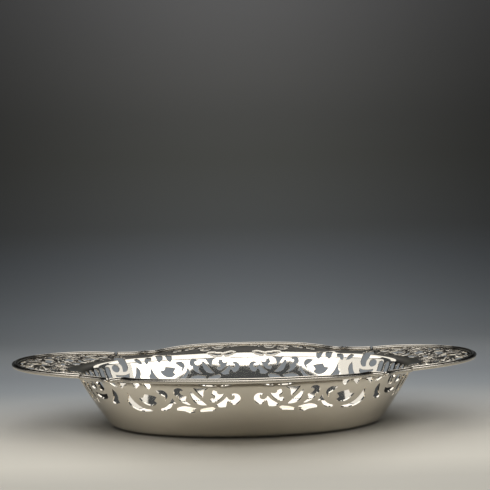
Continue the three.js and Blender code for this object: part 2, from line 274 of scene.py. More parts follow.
def handle_relief(along, share):
    """Rounded ribs that run up along the handle. They fade out before the bowl and the wire."""
    beside = STRIP_LENGTH - along
    wave = RELIEF_SWAY * np.sin(6 * share) * np.minimum(beside / 4, 1)
    sideways = np.clip((RELIEF_HALF - beside) / 6, 0, 1)
    off_bowl = np.clip((share - 0.14) / 0.14, 0, 1)
    off_wire = np.clip((0.93 - share) / 0.08, 0, 1)
    rib = np.cos(2 * math.pi * beside / RELIEF_PITCH + wave)
    return RELIEF_RISE * sideways * off_bowl * off_wire * rib


def section_frame(along):
    """The crease at each place along it, its height, the wall's lean, and the way out from the bowl."""
    angle = np.interp(along, table_along, table_angle)
    cos, sin = np.cos(angle), np.sin(angle)
    crease = np.stack([CREASE_X * cos, CREASE_Y * sin], -1)
    crease_z = CREASE_HEIGHT_SIDE + (CREASE_HEIGHT_END - CREASE_HEIGHT_SIDE) * cos**2
    lean = np.stack([WALL_LEAN_END * cos, WALL_LEAN_SIDE * sin], -1)
    outward = unit(np.stack([cos / CREASE_X, sin / CREASE_Y], -1))
    return crease, crease_z, lean, outward


def wall_point(crease, crease_z, lean, down):
    """The wall with its slight belly, and the round foot below it."""
    run = np.linalg.norm(lean, axis=-1)
    out = lean / run[..., None]
    corner = crease - lean
    slope = np.arctan2(crease_z, run)
    height = np.hypot(crease_z, run)
    setback = FOOT_ROUND * np.tan(slope / 2)

    rise = 1 - np.clip(down, 0, WALL_END) / WALL_END
    up = (setback + (height - setback) * rise) / height
    belly = 4 * BELLY * rise * (1 - rise)
    wall_xy = corner + lean * up[..., None] + out * (belly * crease_z / height)[..., None]
    wall_z = crease_z * up - belly * run / height

    turn = slope * (1 - np.clip((down - WALL_END) / (FOOT_END - WALL_END), 0, 1))
    foot = corner - out * setback[..., None]
    foot_xy = foot + out * (FOOT_ROUND * np.sin(turn))[..., None]
    foot_z = FOOT_ROUND * (1 - np.cos(turn))

    on_foot = down > WALL_END
    xy = np.where(on_foot[..., None], foot_xy, wall_xy)
    return np.concatenate([xy, np.where(on_foot, foot_z, wall_z)[..., None]], -1)


def border_point(along, crease, crease_z, outward, down):
    """The border and the handles, which level out towards the wire."""
    across = np.maximum(-down, 0)
    reach = reach_at(along)
    share = np.minimum(across / reach, 1)
    lift = rim_height(crease[..., 0] + outward[..., 0] * reach) - RIM_SHEET - crease_z
    xy = crease + outward * across[..., None]
    z = crease_z + lift * np.sin(share * math.pi / 2) + handle_relief(along, share)
    return np.concatenate([xy, z[..., None]], -1)


def raw_point(along, down):
    """A point of the outer face, before the crease is rounded."""
    crease, crease_z, lean, outward = section_frame(along)
    below = wall_point(crease, crease_z, lean, down)
    beyond = border_point(along, crease, crease_z, outward, down)
    return np.where((down < 0)[..., None], beyond, below)


def face_point(along, down):
    """A point of the outer face, with the crease rounded."""
    along, down = np.broadcast_arrays(as_array(along), as_array(down))
    plain = raw_point(along, down)
    near = np.abs(down) < CREASE_ROUND
    t = ((np.clip(down, -CREASE_ROUND, CREASE_ROUND) / CREASE_ROUND + 1) / 2)[..., None]
    edge = np.full(down.shape, CREASE_ROUND)
    bend = (
        (1 - t) ** 2 * raw_point(along, -edge)
        + 2 * t * (1 - t) * raw_point(along, np.zeros(down.shape))
        + t**2 * raw_point(along, edge)
    )
    return np.where(near[..., None], bend, plain)


def face_normal(along, down):
    """Direction from the outer face through the sheet."""
    step = 0.02
    low = np.clip(along - step, 0, STRIP_LENGTH)
    high = np.clip(along + step, 0, STRIP_LENGTH)
    ahead = face_point(high, down) - face_point(low, down)
    downward = face_point(along, down + step) - face_point(along, down - step)
    normal = unit(np.cross(downward, ahead))
    normal[along < 1e-6, 0] = 0
    normal[along > STRIP_LENGTH - 1e-6, 1] = 0
    return unit(normal)


def thickness(along, down):
    """The border gets thinner from the crease out to the wire."""
    return SHEET - (SHEET - RIM_SHEET) * np.clip(-down / reach_at(along), 0, 1)


# Piercing. Each outline is drawn on the flat strip: along the crease, and down from it.

WALL_OPENINGS = {
    "scroll": [
        (9.9, 6.5), (8.4, 5.9), (6.8, 6), (5.1, 7), (4.2, 9), (4.6, 11.4), (5.9, 13.2), (7.9, 14.5),
        (9.5, 14.3), (10.4, 13.4), (10.7, 12.2), (11.7, 12), (12.7, 12.8), (13.4, 14.1), (13.6, 16.2),
        (18.7, 16.2), (20.5, 14.9), (16.9, 12.4), (15, 10.9), (13.5, 9.2), (12.7, 8.2), (12.1, 9.5),
        (11.3, 10.4), (9.5, 10.8), (8.2, 10), (7.7, 8.7), (8.4, 7.6), (9.7, 7.2),
    ],
    "fish": [
        (13.8, 6), (17.9, 6), (18.5, 5.2), (18.2, 4.3), (19.4, 3.8), (20.1, 3.4), (21.1, 3.7), (21.4, 5.3),
        (22, 6.2), (21.3, 7.1), (20.1, 8.2), (20, 9.2), (20.9, 9.8), (22, 9.4), (23.1, 10.1), (23.6, 11.3),
        (22.7, 12.3), (21.3, 12.6), (19.4, 12), (17.6, 10.7), (16.1, 9.1), (14.7, 7.2),
    ],
    "rim_heart": [
        (23.5, 1.7), (24.5, 2.5), (26, 3.5), (27.1, 6.1), (27.3, 8.3), (28.2, 8.6), (29.5, 7), (31.4, 4.1),
        (32.7, 1.5), (30.4, 2.1), (27.6, 1.9),
    ],
    "crescent": [
        (34.8, 4.4), (35.6, 6.3), (35.2, 8.9), (34.1, 11.9), (32.3, 13.8), (29.3, 14.8), (26, 14.8),
        (27.5, 13.1), (30.1, 10), (32.6, 7), (34.1, 4.8),
    ],
    "curl": [
        (39.4, 3.2), (40.7, 2.2), (42.5, 1.9), (44.4, 2.7), (45.6, 4.6), (45.8, 6.7), (44.7, 8.3), (44, 7.7),
        (43.7, 8.8), (43.8, 10.6), (42.5, 12.5), (40.3, 13.9), (38.1, 14.8), (36.5, 14.8), (37.8, 13.7),
        (39, 12.2), (39.4, 10.7), (38.5, 9.2), (38.3, 8), (39.8, 7.9), (40.7, 7.3), (41.8, 6.1), (42, 4.8),
        (41.1, 4.1), (39.8, 3.9),
    ],
    "slit": [
        (22.4, 16.4), (20.5, 17.8), (21.6, 18.9), (26.4, 19.8), (31.5, 20.3), (31.9, 19.6), (31.3, 18.7),
        (27.9, 17.3), (24.2, 16.6),
    ],
    "blade": [
        (33.7, 17.5), (37, 16.6), (41.4, 16), (44.9, 16.7), (48, 18.5), (47.6, 19.4), (41.4, 20.2),
        (40.1, 20.8), (38.9, 21.5), (37.4, 21.2), (34.5, 20.4), (36.4, 20), (36.5, 19.1), (34.2, 18.5),
    ],
    "sickle": [
        (46.4, 14.4), (47.5, 11.2), (48.4, 9.4), (50.2, 13), (52.8, 15.7), (56.4, 17.9), (59.3, 18.8),
        (59.5, 20), (56.4, 20.1), (52.8, 18.9), (50.2, 16.2), (48.4, 13.5),
    ],
    "ring": [
        (57.8, 4.5), (55.4, 3.9), (52.2, 4.2), (50.8, 5.6), (50.6, 8.2), (51.9, 10.1), (53.4, 12.1),
        (53.2, 10.1), (52.5, 9.1), (54.1, 8.1), (55.6, 6.8), (56.6, 5.8),
    ],
    "wedge": [
        (59.3, -2.8), (59.6, 0), (60.2, 2), (61.8, 3.7), (63.2, 2.6), (64.2, 0), (64.6, -2.8), (62, -3.2),
    ],
    "notch": [
        (67.1, -3.3), (67, -0.5), (67.8, 1.4), (69.4, 2.4), (70.8, 3.6), (71.9, 2.2), (72.2, 0), (72.3, -3),
        (69.8, -3.6),
    ],
    "bud": [
        (76.2, -1.2), (79.5, -1.6), (81.6, -0.4), (82.6, 2), (82.2, 4), (80.6, 3.4), (79.4, 1.9), (77, 1.4),
    ],
    "leaf": [(90.8, -0.5), (88, -1.8), (86, 0.8), (85.2, 3.6), (87.5, 3.2), (90, 1.2)],
    "heart": [
        (58.5, 9.3), (60.4, 8.6), (64.2, 7.9), (66.7, 7.5), (67.6, 9.1), (68.9, 10.4), (71.1, 10.6), (72, 11),
        (71.3, 12.6), (70.1, 14.4), (67.8, 16), (64.8, 16.5), (61.7, 15.6), (59.8, 14.2), (60.7, 13.2),
        (61.3, 12.5), (60.1, 10.9),
    ],
    "moon": [
        (79.3, 6.8), (79.9, 9.5), (81.1, 12.4), (82.7, 14.1), (82.5, 16.1), (81.1, 18.9), (78.7, 20.6),
        (73.7, 21.9), (69.9, 21.7), (65.7, 21.1), (66.7, 20), (69.9, 19.7), (73, 18.3), (75.5, 16.3),
        (77.4, 13.2), (78.6, 9.5),
    ],
    "teardrop": [
        (90.8, 5.2), (92, 7.8), (93.3, 11), (95.5, 13.9), (98.2, 16.4), (96.8, 17.6), (93, 17.3), (91, 16.3),
        (90.6, 13.8), (89.4, 11.4), (89, 8.6),
    ],
    "horn": [
        (103, -8), (97.8, -7), (98, 0.7), (98.2, 5.1), (101.6, 8.3), (103.7, 7.9), (103, 3.8), (104.3, 0.5),
        (103.7, -2.5), (106, -4),
    ],
    "eye": [
        (105.8, 4.2), (106.7, 2.5), (108.6, 1.8), (110.8, 2.3), (112.3, 4.2), (112, 6.2), (110.3, 7.5),
        (108.2, 7.7), (106.4, 6.4),
    ],
    "gap": [
        (98.8, 10), (102, 10.8), (107, 10.7), (111.5, 9.8), (111.8, 12.6), (108, 14.5), (103, 14.7),
        (100.2, 13.2),
    ],
}

# Small leaves in the border: two beside the plain middle, and a run of scrolls just inside the wire
BORDER_OPENINGS = {
    "inner_leaf": [
        (8, -3.2), (9.6, -3.9), (12.2, -2.9), (15.6, -1.5), (15.2, -0.1), (12.4, -0.6), (9.8, -1.7),
    ],
    "outer_leaf": [(18, -0.6), (19.8, -1.9), (23, -2.3), (26.6, -3.4), (28, -2.5), (25.8, -0.9), (22, 0)],
    "edge_first": [
        (5, -19.6), (8, -20.2), (11.4, -19.4), (13, -17.2), (11.6, -15.2), (11, -17.2), (8.6, -18.3),
    ],
    "edge_second": [
        (15.4, -19.2), (19, -19.2), (23, -18), (25, -16.4), (23.6, -15), (21.8, -16.6), (18.4, -17.4),
    ],
    "edge_third": [(16, -14.6), (17.6, -12.6), (20.6, -11.6), (23.4, -12.2), (21, -13.2), (19, -15)],
    "edge_fourth": [
        (27.4, -17.4), (30.6, -17.6), (34.4, -16.2), (36, -13.8), (34.2, -13.6), (32.6, -15.2), (29.6, -15.7),
    ],
    "edge_fifth": [(27, -10.6), (29.4, -8.6), (32.6, -8.6), (35, -10.4), (32, -10.2), (29.6, -11.6)],
    "edge_sixth": [
        (38.4, -15.6), (42, -15.4), (45.6, -13.8), (46.6, -11.6), (44.6, -11.4), (42.8, -13), (40, -13.7),
    ],
    "edge_seventh": [
        (49, -13), (52.4, -12.4), (55.4, -10.8), (56.2, -8.8), (54.2, -9), (52, -10.4), (49.8, -11),
    ],
}

# A fan of leaf openings crosses the end walls, counted from the end
FAN_COUNT = 6
FAN_PITCH = 6.1
FAN_LEAF = [
    (-1.9, 3.6), (-0.6, 2.5), (1.4, 2.7), (2.3, 5.5), (2.5, 9), (2.3, 13), (1.7, 16.5), (-0.6, 20.2),
    (-0.7, 16.5), (-1.2, 11.8), (-1.6, 7),
]

# Handle openings: degrees round the bowl from the tip, and the part of the way from crease to wire
HANDLE_OPENINGS = {
    "tip_scroll": [
        (1.2, 0.53), (3, 0.5), (5, 0.5), (6.8, 0.56), (7.3, 0.65), (6.6, 0.75), (5, 0.81), (2.6, 0.84),
        (2.6, 0.8), (4.3, 0.76), (5, 0.69), (4.4, 0.63), (3, 0.62), (1.2, 0.6),
    ],
    "tip_bud": [(1.2, 0.3), (3, 0.27), (5, 0.28), (7, 0.36), (5, 0.4), (3, 0.43), (2, 0.37)],
    "edge_leaf": [
        (9.5, 0.76), (10, 0.83), (12, 0.87), (14, 0.86), (16, 0.86), (18, 0.8), (19.5, 0.7), (17, 0.73),
        (15, 0.76), (13, 0.74), (11, 0.73),
    ],
    "inner_scroll": [
        (9.5, 0.42), (10.5, 0.37), (12.5, 0.36), (15.5, 0.41), (17.2, 0.48), (16.2, 0.55), (14, 0.6),
        (11.5, 0.61), (9.5, 0.58), (12, 0.55), (13, 0.5), (12, 0.46),
    ],
    "root_leaf": [
        (22, 0.61), (24.5, 0.6), (27.5, 0.64), (29.3, 0.71), (29.5, 0.8), (26.5, 0.83), (23, 0.81),
        (24.6, 0.76), (25, 0.71), (24, 0.66),
    ],
    "root_scroll": [
        (19.5, 0.36), (21, 0.3), (23, 0.28), (25.5, 0.31), (27.5, 0.38), (26, 0.45), (24, 0.5),
        (22.5, 0.46), (21.5, 0.41),
    ],
    "tip_petal": [(0.9, 0.9), (2.2, 0.93), (4.6, 0.92), (6.2, 0.88), (4.2, 0.875), (2.2, 0.87)],
    "edge_bud": [(8.1, 0.88), (8.5, 0.8), (8.2, 0.7), (8.9, 0.74), (9.3, 0.84), (9.6, 0.9), (8.8, 0.92)],
    "tip_seed": [
        (8.8, 0.3), (8.2, 0.24), (8.9, 0.18), (10.8, 0.15), (13, 0.18), (14.4, 0.25), (12.4, 0.29),
        (10.6, 0.28),
    ],
    "inner_leaf": [
        (15.8, 0.31), (16.4, 0.23), (18, 0.18), (19.8, 0.2), (18.4, 0.26), (18, 0.34), (18.6, 0.42),
        (17, 0.38),
    ],
    "middle_bud": [
        (17.8, 0.64), (18.2, 0.58), (19.6, 0.55), (21, 0.59), (20.6, 0.66), (21.4, 0.74), (20, 0.68),
    ],
    "edge_tail": [
        (20.4, 0.9), (21.2, 0.84), (23, 0.865), (26, 0.87), (28.6, 0.86), (27.4, 0.915), (24, 0.93),
    ],
    "root_bud": [
        (28.6, 0.5), (29.4, 0.42), (30.8, 0.4), (32, 0.46), (32.6, 0.56), (31, 0.6), (30.2, 0.55),
    ],
}

# Chased lines run up the handle at these degrees, within these shares of its reach
HANDLE_RIBS = (0.7, 4.2, 7.7, 11, 14.4, 17.6, 20.8, 24, 27.2, 30.6, 34.2, 38)
RIB_SPAN = (0.13, 0.88)


def handle_place(points):
    """Handle coordinates as places on the flat strip."""
    points = as_array(points)
    along = np.interp(-np.radians(points[:, 0]), -table_angle, table_along)
    return np.stack([along, -points[:, 1] * reach_at(along)], 1)


def small_openings():
    """Outlines of the openings of the border and the handles on the flat strip."""
    outlines = [as_array(points) for points in BORDER_OPENINGS.values()]
    return outlines + [handle_place(points) for points in HANDLE_OPENINGS.values()]


def opening_outlines():
    outlines = [as_array(points) for points in WALL_OPENINGS.values()]
    for k in range(FAN_COUNT):
        middle = STRIP_LENGTH - (k + 0.5) * FAN_PITCH
        outlines.append(as_array(FAN_LEAF) + [middle, 0])
    return outlines + small_openings()


def signed_area(points):
    x, y = points[:, 0], points[:, 1]
    return 0.5 * float((x * np.roll(y, -1) - np.roll(x, -1) * y).sum())


def cut_and_ring(outline):
    """The saw cut and, on the metal just outside it, where its softened edge starts."""
    cut = smooth_line(outline, 0.5, closed=True)
    if signed_area(cut) < 0:
        cut = cut[::-1]
    return cut, offset_line(cut, CHAMFER, closed=True)


# Chased lines

def chased_lines():
    """Lines on the flat strip. Each has its half width, its depth, and whether the mesh follows its sides."""
    along = np.linspace(0, STRIP_LENGTH, 140)
    beside_wire = np.stack([along, WIRE_LINE_INSET - reach_at(along)], 1)
    lines = [(smooth_line(beside_wire, 0.6, corner=80), *WIRE_LINE, True)]
    for outline in small_openings():
        cut, _ = cut_and_ring(outline)
        contour = offset_line(cut, CONTOUR_GAP, closed=True)
        lines.append((np.vstack([contour, contour[:1]]), *CONTOUR, False))
    share = np.linspace(*RIB_SPAN, 40)
    for degrees in HANDLE_RIBS:
        wave = 0.5 * np.sin(9 * share + degrees)
        rib = handle_place(np.stack([degrees + wave, share], 1))
        lines.append((smooth_line(rib, 0.6, corner=80), *RIB, True))
    return lines


# The flat triangle mesh of a quarter

def inside(points, loops):
    """True for each point that an odd number of the loops goes round."""
    count = np.zeros(len(points), int)
    x, y = points[:, 0][:, None], points[:, 1][:, None]
    for loop in loops:
        ax, ay = loop[:, 0], loop[:, 1]
        bx, by = np.roll(ax, -1), np.roll(ay, -1)
        spans = (ay > y) != (by > y)
        with np.errstate(divide="ignore", invalid="ignore"):
            cross = ax + (y - ay) * (bx - ax) / (by - ay)
        count += (spans & (x < cross)).sum(1)
    return count % 2 == 1


def grid_points(loops):
    """Points inside the metal in staggered rows, closer where the sheet is pierced or bent."""
    rows = []
    down = -50.0
    while down < FOOT_END - 0.3:
        pierced = down < PIERCED_END
        bent = down > WALL_END - 2
        across = 1.25 if pierced else 2.0
        count = round(STRIP_LENGTH / across)
        shift = 0.75 if len(rows) % 2 else 0.25
        along = (np.arange(count) + shift) * STRIP_LENGTH / count
        rows.append(np.stack([along, np.full(count, down)], 1))
        down += 1.1 if pierced else (0.9 if bent else 1.7)
    points = np.vstack(rows)
    return points[inside(points, loops)]


def point_tree(points):
    tree = KDTree(len(points))
    for k, (x, y) in enumerate(points):
        tree.insert((x, y, 0), k)
    tree.balance()
    return tree


def quarter_boundary():
    """The quarter's whole outline, and its stretch along the wire with the edge softened and unsoftened."""
    tip_steps, foot_steps, side_steps = 84, 100, 54
    edge = sheet_edge()
    spaced = [edge[0]]
    for p in edge[1:-1]:
        if np.linalg.norm(p - spaced[-1]) > 0.45:
            spaced.append(p)
    edge = np.vstack([spaced, edge[-1:]])
    ring = offset_line(edge, -CHAMFER)
    ring[0] = edge[0] + [0, CHAMFER]
    ring[-1] = edge[-1] + [0, CHAMFER]
    tip = np.linspace(ring[-1], (STRIP_LENGTH, FOOT_END), tip_steps)[1:]
    foot = np.linspace((STRIP_LENGTH, FOOT_END), (0, FOOT_END), foot_steps)[1:]
    side = np.linspace((0, FOOT_END), ring[0], side_steps)[1:-1]
    return np.vstack([ring, tip, foot, side]), ring, edge


def fixed_lines(loops, lines):
    """Points that the mesh has to have, and the edges between them that it has to keep."""
    points = list(loops)
    edges = []
    first = 0
    for loop in loops:
        edges += [(first + k, first + (k + 1) % len(loop)) for k in range(len(loop))]
        first += len(loop)
    for line, half, _, sides in lines:
        parts = [line, offset_line(line, half), offset_line(line, -half)] if sides else [line]
        for part in parts:
            keep = inside(part, loops)
            edges += [(first + k, first + k + 1) for k in range(len(part) - 1) if keep[k] and keep[k + 1]]
            points.append(part)
            first += len(part)
    return np.vstack(points), edges


def turned_alike(flat, triangles):
    """The triangles that have an area, all anticlockwise."""
    a, b, c = (flat[triangles[:, k]] for k in range(3))
    area = (b[:, 0] - a[:, 0]) * (c[:, 1] - a[:, 1]) - (b[:, 1] - a[:, 1]) * (c[:, 0] - a[:, 0])
    real = np.abs(area) > 1e-7
    triangles, area = triangles[real], area[real]
    triangles[area < 0] = triangles[area < 0][:, ::-1]
    return triangles


def flat_mesh(loops, lines):
    """Points and triangles over the metal of one quarter of the flat strip."""
    fixed, edges = fixed_lines(loops, lines)
    tree = point_tree(fixed)
    grid = grid_points(loops)
    clear = [tree.find((x, y, 0))[2] > 0.5 for x, y in grid]
    coords = np.vstack([fixed, grid[clear]])
    result = delaunay_2d_cdt([tuple(p) for p in coords], edges, [], 0, 1e-5)
    flat = as_array([tuple(p) for p in result[0]])
    triangles = np.array([tuple(face) for face in result[2]])
    triangles = triangles[inside(flat[triangles].mean(1), loops)]
    used, triangles = np.unique(turned_alike(flat, triangles), return_inverse=True)
    return flat[used], triangles.reshape(-1, 3)


def open_edges(triangles):
    """Directed edges that only one triangle has."""
    pairs = np.vstack([triangles[:, [0, 1]], triangles[:, [1, 2]], triangles[:, [2, 0]]])
    known = set(map(tuple, pairs.tolist()))
    return np.array([p for p in pairs.tolist() if (p[1], p[0]) not in known])


def line_depths(flat, lines):
    """How deep the chasing goes at each point, and how near its bottom the point lies."""
    dense = []
    facts = []
    for line, half, deep, _ in lines:
        length = distances(line)[-1]
        points, even = even_points(line, max(8, int(length / 0.12)))
        taper = np.clip(np.minimum(even, length - even) / 2.0, 0, 1) ** 0.5
        dense.append(points)
        facts.append(np.stack([half * np.maximum(taper, 0.3), deep * taper], 1))
    tree = point_tree(np.vstack(dense))
    facts = np.vstack(facts)
    depth = np.zeros(len(flat))
    near = np.zeros(len(flat))
    for k, (x, y) in enumerate(flat):
        _, index, distance = tree.find((x, y, 0))
        half, deep = facts[index]
        depth[k] = deep * max(0.0, 1 - distance / half)
        near[k] = math.exp(-((distance / (1.6 * half)) ** 2)) * min(1.0, deep / 0.15)
    return depth, near


def area_normals(points, triangles):
    a, b, c = (points[triangles[:, k]] for k in range(3))
    cross = np.cross(b - a, c - a)
    out = np.zeros_like(points)
    for k in range(3):
        np.add.at(out, triangles[:, k], cross)
    return unit(out)


class Solid:
    """Points with their tarnish and painted shade, and triangles with a direction for each of their three
    corners.
    """

    def __init__(self):
        self.points, self.tarnish, self.faces, self.corners = [], [], [], []
        self.count = 0

    def add_points(self, points, tarnish):
        """Returns the number of the first new point."""
        self.points.append(points)
        self.tarnish.append(np.broadcast_to(tarnish, len(points)))
        self.count += len(points)
        return self.count - len(points)

    def add_faces(self, faces, corners):
        self.faces.append(faces)
        self.corners.append(corners)

    def add_quads(self, places, ways):
        """Two triangles for each set of four points, with the direction at each of the four."""
        for pick in ((0, 1, 2), (0, 2, 3)):
            self.add_faces(np.stack([places[k] for k in pick], 1), np.stack([ways[k] for k in pick], 1))

    def arrays(self):
        return (np.vstack(self.points), np.vstack(self.faces), np.vstack(self.corners),
                np.concatenate(self.tarnish))


def add_leaves(solid, flat, triangles, lines):
    """Both faces with their chased lines. Returns the plain outer face and the way that each face looks."""
    along, down = flat.T
    depth, near = line_depths(flat, lines)
    surface = face_point(along, down)
    normal = face_normal(along, down)
    thick = thickness(along, down)
    plain_inner = surface + normal * thick[:, None]
    outer = surface - normal * (SHOW_THROUGH * depth)[:, None]
    inner = surface + normal * (thick - depth)[:, None]
    turned = triangles[:, ::-1]
    outer_way = -unit(normal - (area_normals(outer, triangles) - area_normals(surface, triangles)))
    inner_way = unit(normal - area_normals(plain_inner, turned) + area_normals(inner, turned))
    # Painted shade on the outer face under the border, growing outward from just past the crease; the chased
    # lines darken with patina on both faces.
    painted_border_shade = UNDER_BORDER_SHADE * np.clip((-down - 0.4) / 2.2, 0, 1)
    outer_first = solid.add_points(outer, np.maximum(0.6 * near, painted_border_shade))
    inner_first = solid.add_points(inner, near)
    solid.add_faces(triangles + outer_first, outer_way[triangles])
    solid.add_faces(turned + inner_first, inner_way[turned])
    return surface, outer_way, inner_way


def cut_edges(flat, triangles):
    """The outline's edges, apart from those where the quarters and the base join on."""
    along, down = flat.T
    edges = open_edges(triangles)
    seam = np.zeros(len(edges), bool)
    for value, limit in ((along, 0), (along, STRIP_LENGTH), (down, FOOT_END)):
        seam |= (np.abs(value - limit) < 1e-3)[edges].all(1)
    return edges[~seam]


def add_cut_walls(solid, flat, triangles, rings, cuts, leaves):
    """The walls of the saw cuts and of the sheet's own edge, with both their edges softened."""
    surface, outer_way, inner_way = leaves
    edges = cut_edges(flat, triangles)
    members, local = np.unique(edges, return_inverse=True)
    local = local.reshape(-1, 2)
    tree = point_tree(rings)
    nearest = [tree.find((x, y, 0))[1] for x, y in flat[members]]
    along, down = (flat[members] + cuts[nearest] - rings[nearest]).T
    face = face_point(along, down)
    normal = face_normal(along, down)
    thick = thickness(along, down)
    sideways = unit(face - surface[members])
    low = local + solid.add_points(face + normal * CHAMFER, 0.1)
    high = local + solid.add_points(face + normal * (thick - CHAMFER)[:, None], 0.1)
    (a, b), (la, lb), (ha, hb) = edges.T, low.T, high.T
    da, db = sideways[local[:, 0]], sideways[local[:, 1]]
    inner = len(flat)
    solid.add_quads((b, a, la, lb), (outer_way[b], outer_way[a], da, db))
    solid.add_quads((lb, la, ha, hb), (db, da, da, db))
    solid.add_quads((hb, ha, a + inner, b + inner), (db, da, inner_way[a], inner_way[b]))


def add_base(solid, flat, surface):
    """The flat base, outside and inside, in rings that shrink to its middle."""
    along, down = flat.T
    on_foot = np.where(np.abs(down - FOOT_END) < 1e-3)[0]
    on_foot = on_foot[np.argsort(along[on_foot])]
    foot = surface[on_foot]
    for first, height, upward in ((0, 0.0, -1.0), (len(flat), SHEET, 1.0)):
        rows = [on_foot + first]
        for share in BASE_RINGS:
            level = np.column_stack([foot[:, :2] * share, np.full(len(foot), height)])
            rows.append(np.arange(len(foot)) + solid.add_points(level, 0.0))
        middle = solid.add_points(np.array([[0.0, 0.0, height]]), 0.0)
        faces = []
        for outer, inner in zip(rows, rows[1:]):
            faces.append(np.stack([outer[1:], outer[:-1], inner[:-1]], 1))
            faces.append(np.stack([outer[1:], inner[:-1], inner[1:]], 1))
        last = rows[-1]
        faces.append(np.stack([last[1:], last[:-1], np.full(len(last) - 1, middle)], 1))
        faces = np.vstack(faces)
        if upward < 0:
            faces = faces[:, ::-1]
        solid.add_faces(faces, np.broadcast_to((0.0, 0.0, upward), (len(faces), 3, 3)))


def quarter_solid():
    """One quarter of the sheet as points, triangles, corner directions, and tarnish with painted shade."""
    boundary, edge_ring, edge = quarter_boundary()
    cuts, rings = zip(*(cut_and_ring(outline) for outline in opening_outlines()))
    lines = chased_lines()
    flat, triangles = flat_mesh([boundary, *rings], lines)
    solid = Solid()
    leaves = add_leaves(solid, flat, triangles, lines)
    add_cut_walls(solid, flat, triangles, np.vstack([edge_ring, *rings]), np.vstack([edge, *cuts]), leaves)
    add_base(solid, flat, leaves[0])
    return solid.arrays()


def mirrored_quarters(points, faces, corners, tarnish):
    """All four quarters as one set, with the points on the planes between them shared."""
    points = np.where(np.abs(points) < 1e-6, 0.0, points)
    all_points, all_faces, all_corners = [], [], []
    for k, sign in enumerate(((1, 1, 1), (-1, 1, 1), (-1, -1, 1), (1, -1, 1))):
        order = [0, 2, 1] if sign[0] * sign[1] < 0 else [0, 1, 2]
        all_points.append(points * sign + 0.0)  # which turns minus zero into zero
        all_faces.append(faces[:, order] + k * len(points))
        all_corners.append(corners[:, order] * sign)
    joined = np.vstack(all_points)
    _, first, where = np.unique(np.round(joined, 7), axis=0, return_index=True, return_inverse=True)
    faces = where.reshape(-1)[np.vstack(all_faces)]
    return joined[first], faces, np.vstack(all_corners), np.tile(tarnish, 4)[first]


def make_mesh(name, points, faces, tarnish, corners=None):
    """A mesh of triangles from arrays in millimetres. Corners hold the direction of each face corner."""
    mesh = bpy.data.meshes.new(name)
    mesh.vertices.add(len(points))
    mesh.vertices.foreach_set("co", (points * MM).astype(np.float32).ravel())
    mesh.loops.add(faces.size)
    mesh.loops.foreach_set("vertex_index", faces.astype(np.int32).ravel())
    mesh.polygons.add(len(faces))
    mesh.polygons.foreach_set("loop_start", np.arange(0, faces.size, 3, dtype=np.int32))
    mesh.polygons.foreach_set("use_smooth", np.ones(len(faces), bool))
    mesh.update(calc_edges=True)
    layer = mesh.attributes.new("tarnish", "FLOAT", "POINT")
    layer.data.foreach_set("value", tarnish.astype(np.float32))
    if corners is not None:
        mesh.normals_split_custom_set([tuple(n) for n in corners.reshape(-1, 3)])
    piece = bpy.data.objects.new(name, mesh)
    bpy.context.scene.collection.objects.link(piece)
    return piece


# Border wires

def wire_section():
    """Outline of the wire, outward and up, and how dark each point is, from patina and painted shade: a reed
    on each side and a taller one on top.
    """
    half = []

    def reed(x, y, radius, angles, is_dark):
        for angle in angles:
            a = math.radians(angle)
            half.append((x + radius * math.cos(a), y + radius * math.sin(a), float(is_dark(angle))))

    # From the foot over the side reed and the hollow beside it to the top reed
    side_x, side_y = WIRE_HALF - SIDE_REED, SIDE_REED * 0.95
    half.append((WIRE_HALF - 0.25, -SOLDER, 0.6))
    half.append((WIRE_HALF, 0.1, 0.3))
    # Darkness marks: patina with painted shade in the hollow and on the side reed's inner top, a dirt line
    # with painted shade at its lowest part, and painted shade on the top reed's lower flank.
    reed(side_x, side_y, SIDE_REED, np.linspace(0, 150, 11), lambda angle: angle > 105 or angle < 12)
    half.append((0.7, 0.5, 1.0))
    half.append((TOP_REED * 0.85, 0.8, 1.0))
    reed(0, WIRE_HEIGHT - TOP_REED, TOP_REED, np.linspace(-35, 90, 10), lambda angle: angle < 28)
    other = [(-x, y, dark) for x, y, dark in half[-2::-1]]
    section = as_array(half + other)
    return section[:, :2], section[:, 2]


def wire_rows(line, place, section):
    """The section at each point of the line, drawn in towards both ends to round them."""
    ahead = unit(np.gradient(line, axis=0))
    outward = np.stack([ahead[:, 1], -ahead[:, 0]], 1)
    from_end = np.clip(np.minimum(place, place[-1] - place) / WIRE_END_ROUND, 0, 1)
    swell = np.sqrt(np.clip(1 - (1 - from_end) ** 2, 0.36, 1))
    across, up = section.T
    rows = []
    for p, out, share in zip(line, outward, swell):
        x = p[0] + out[0] * across * share
        y = p[1] + out[1] * across * share
        z = rim_height(p[0]) + WIRE_GAP + np.where(up > 0, up * share, up)
        rows.append(np.stack([x, y, z], 1))
    return np.vstack(rows)


def wire_mesh(path):
    """Sweeps the section along a path in plan, with the bowl on the left hand."""
    length = distances(path)[-1]
    line, place = even_points(path, round(length / WIRE_STEP) + 1)
    section, dark = wire_section()
    points = wire_rows(line, place, section)
    size = len(section)
    j = np.arange(size)
    ahead = (j + 1) % size
    faces = []
    for first in range(0, len(points) - size, size):
        a, b = first + j, first + ahead
        faces += [np.stack([a, b + size, b], 1), np.stack([a, a + size, b + size], 1)]
    middle = len(points)
    last = middle - size
    faces.append(np.stack([j, ahead, np.full(size, middle)], 1))
    faces.append(np.stack([last + ahead, last + j, np.full(size, middle + 1)], 1))
    points = np.vstack([points, points[:size].mean(0), points[last:].mean(0)])
    tarnish = np.append(np.tile(dark, len(line)), (0.2, 0.2))
    return points, np.vstack(faces), tarnish


